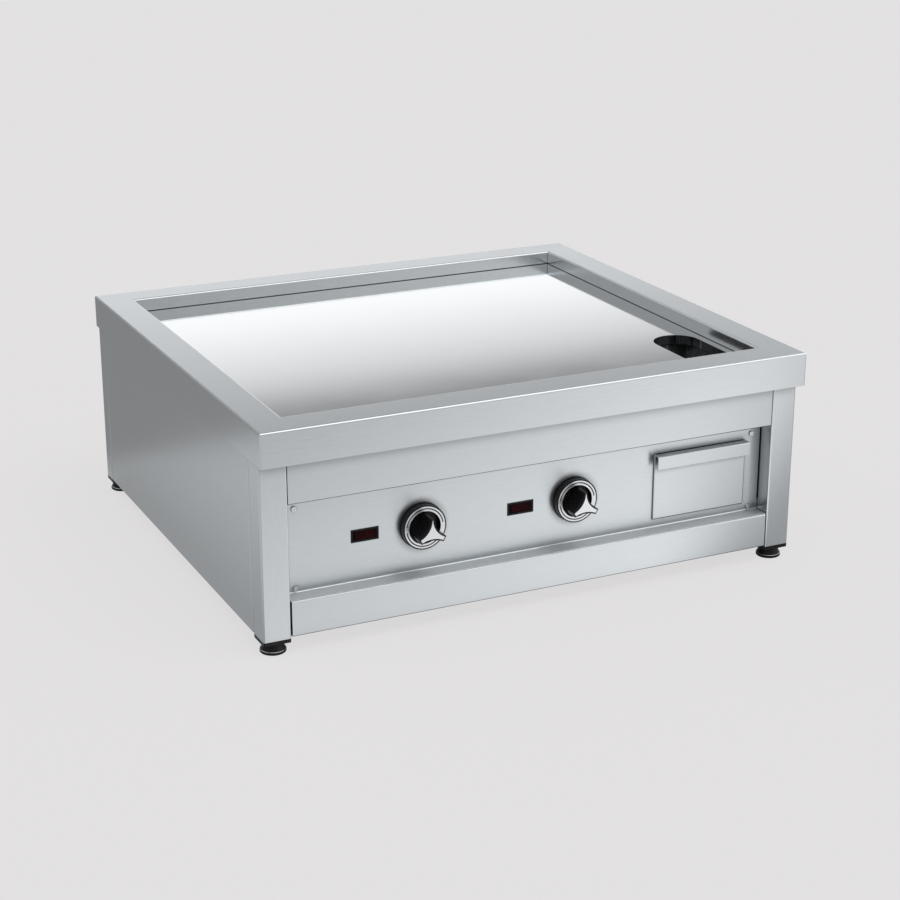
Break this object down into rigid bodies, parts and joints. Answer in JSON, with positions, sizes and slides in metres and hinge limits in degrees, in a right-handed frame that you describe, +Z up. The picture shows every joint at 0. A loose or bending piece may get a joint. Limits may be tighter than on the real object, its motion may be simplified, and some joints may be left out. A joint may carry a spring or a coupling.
{
  "type": "flat top griddle",
  "caption": "Counter-top electric flat top griddle: polished plate in a folded steel frame, knob controls, grease drawer and levelling feet.",
  "frame": {"origin": "middle of the footprint, on the surface that the feet stand on", "axes": "+X to the right seen from the front, +Y from front to back, +Z up"},
  "size_m": [0.9, 0.805, 0.346],
  "materials": {
    "frame_steel": "satin brushed stainless, grain along each rim",
    "panel_steel": "satin brushed stainless",
    "polished_plate": "mirror polished",
    "seal": "matt",
    "plain_steel": "mill finish",
    "zinc_steel": "zinc plated",
    "bright_screw": "bright",
    "black_plastic": "satin gloss",
    "foot_plastic": "satin",
    "silver_trim": "fine turned",
    "display_red": "smoked dark red",
    "element_sheath": "oxidised nickel alloy",
    "mineral_wool": "fibrous",
    "cream_moulding": "matt",
    "red_plastic": "moulded",
    "wire_cover": "matt sleeve",
    "brass_stud": "bright"
  },
  "bodies": {
    "cabinet": {"top_frame": "frame_steel", "front_fascia": "panel_steel", "control_panel": "panel_steel", "kick_plate": "panel_steel", "left_side_panel": "panel_steel", "right_side_panel": "panel_steel", "rear_panel": "panel_steel", "base_panel": "panel_steel", "drain_chute": "panel_steel", "front_left_leg": "panel_steel", "front_right_leg": "panel_steel", "rear_left_leg": "panel_steel", "rear_right_leg": "panel_steel", "griddle_plate": "polished_plate", "plate_seal": "seal", "plate_support_frame": "plain_steel", "drawer_runners": "plain_steel", "element_clamps": "plain_steel", "heat_shield": "plain_steel", "clamp_studs": "zinc_steel", "clamp_nuts": "zinc_steel", "panel_screws": "bright_screw", "temperature_probes": "bright_screw", "left_knob_bezel": "black_plastic", "right_knob_bezel": "black_plastic", "display_modules": "black_plastic", "cable_gland": "black_plastic", "front_left_leg_cap": "foot_plastic", "front_right_leg_cap": "foot_plastic", "rear_left_leg_cap": "foot_plastic", "rear_right_leg_cap": "foot_plastic", "left_scale_ring": "silver_trim", "right_scale_ring": "silver_trim", "display_windows": "display_red", "left_heating_element": "element_sheath", "right_heating_element": "element_sheath", "insulation_blanket": "mineral_wool", "left_thermostat": "cream_moulding", "right_thermostat": "cream_moulding", "limit_thermostat": "cream_moulding", "terminal_block": "cream_moulding", "wiring_loom": "wire_cover", "bonding_stud": "brass_stud"},
    "left_control": {"left_knob": "black_plastic", "left_knob_insert": "silver_trim", "left_thermostat_shaft": "zinc_steel"},
    "right_control": {"right_knob": "black_plastic", "right_knob_insert": "silver_trim", "right_thermostat_shaft": "zinc_steel"},
    "drawer": {"drawer_front": "panel_steel", "drawer_tray": "panel_steel"},
    "reset": {"reset_button": "red_plastic"},
    "front_left_pad": {"front_left_foot_pad": "foot_plastic"},
    "front_left_screw": {"front_left_foot_stud": "zinc_steel"},
    "front_right_pad": {"front_right_foot_pad": "foot_plastic"},
    "front_right_screw": {"front_right_foot_stud": "zinc_steel"},
    "rear_left_pad": {"rear_left_foot_pad": "foot_plastic"},
    "rear_left_screw": {"rear_left_foot_stud": "zinc_steel"},
    "rear_right_pad": {"rear_right_foot_pad": "foot_plastic"},
    "rear_right_screw": {"rear_right_foot_stud": "zinc_steel"}
  },
  "joints": [
    {"name": "left_knob_turn", "type": "hinge", "parent": "cabinet", "child": "left_control", "pos_m": [-0.186, -0.3559, 0.152], "axis": [0, 1, 0], "range_deg": [0, 270]},
    {"name": "right_knob_turn", "type": "hinge", "parent": "cabinet", "child": "right_control", "pos_m": [0.0681, -0.3559, 0.152], "axis": [0, 1, 0], "range_deg": [0, 270]},
    {"name": "drawer_slide", "type": "slide", "parent": "cabinet", "child": "drawer", "axis": [0, -1, 0], "range_m": [0, 0.3]},
    {"name": "reset_press", "type": "slide", "parent": "cabinet", "child": "reset", "axis": [0, 0, 1], "range_m": [0, 0.0015], "stiffness_N_per_m": 400, "springref_m": -0.003},
    {"name": "front_left_foot_travel", "type": "slide", "parent": "cabinet", "child": "front_left_pad", "axis": [0, 0, -1], "range_m": [0, 0.02]},
    {"name": "front_left_foot_screw", "type": "hinge", "parent": "front_left_pad", "child": "front_left_screw", "pos_m": [-0.4258, -0.3629, 0], "axis": [0, 0, -1], "range_deg": [0, 4801]},
    {"name": "front_right_foot_travel", "type": "slide", "parent": "cabinet", "child": "front_right_pad", "axis": [0, 0, -1], "range_m": [0, 0.02]},
    {"name": "front_right_foot_screw", "type": "hinge", "parent": "front_right_pad", "child": "front_right_screw", "pos_m": [0.4258, -0.3629, 0], "axis": [0, 0, -1], "range_deg": [0, 4801]},
    {"name": "rear_left_foot_travel", "type": "slide", "parent": "cabinet", "child": "rear_left_pad", "axis": [0, 0, -1], "range_m": [0, 0.02]},
    {"name": "rear_left_foot_screw", "type": "hinge", "parent": "rear_left_pad", "child": "rear_left_screw", "pos_m": [-0.4258, 0.3816, 0], "axis": [0, 0, -1], "range_deg": [0, 4801]},
    {"name": "rear_right_foot_travel", "type": "slide", "parent": "cabinet", "child": "rear_right_pad", "axis": [0, 0, -1], "range_m": [0, 0.02]},
    {"name": "rear_right_foot_screw", "type": "hinge", "parent": "rear_right_pad", "child": "rear_right_screw", "pos_m": [0.4258, 0.3816, 0], "axis": [0, 0, -1], "range_deg": [0, 4801]}
  ],
  "couplings": [
    {"joint": "front_left_foot_screw", "follows": "front_left_foot_travel", "rad_per_m": 4188.8},
    {"joint": "front_right_foot_screw", "follows": "front_right_foot_travel", "rad_per_m": 4188.8},
    {"joint": "rear_left_foot_screw", "follows": "rear_left_foot_travel", "rad_per_m": 4188.8},
    {"joint": "rear_right_foot_screw", "follows": "rear_right_foot_travel", "rad_per_m": 4188.8}
  ]
}
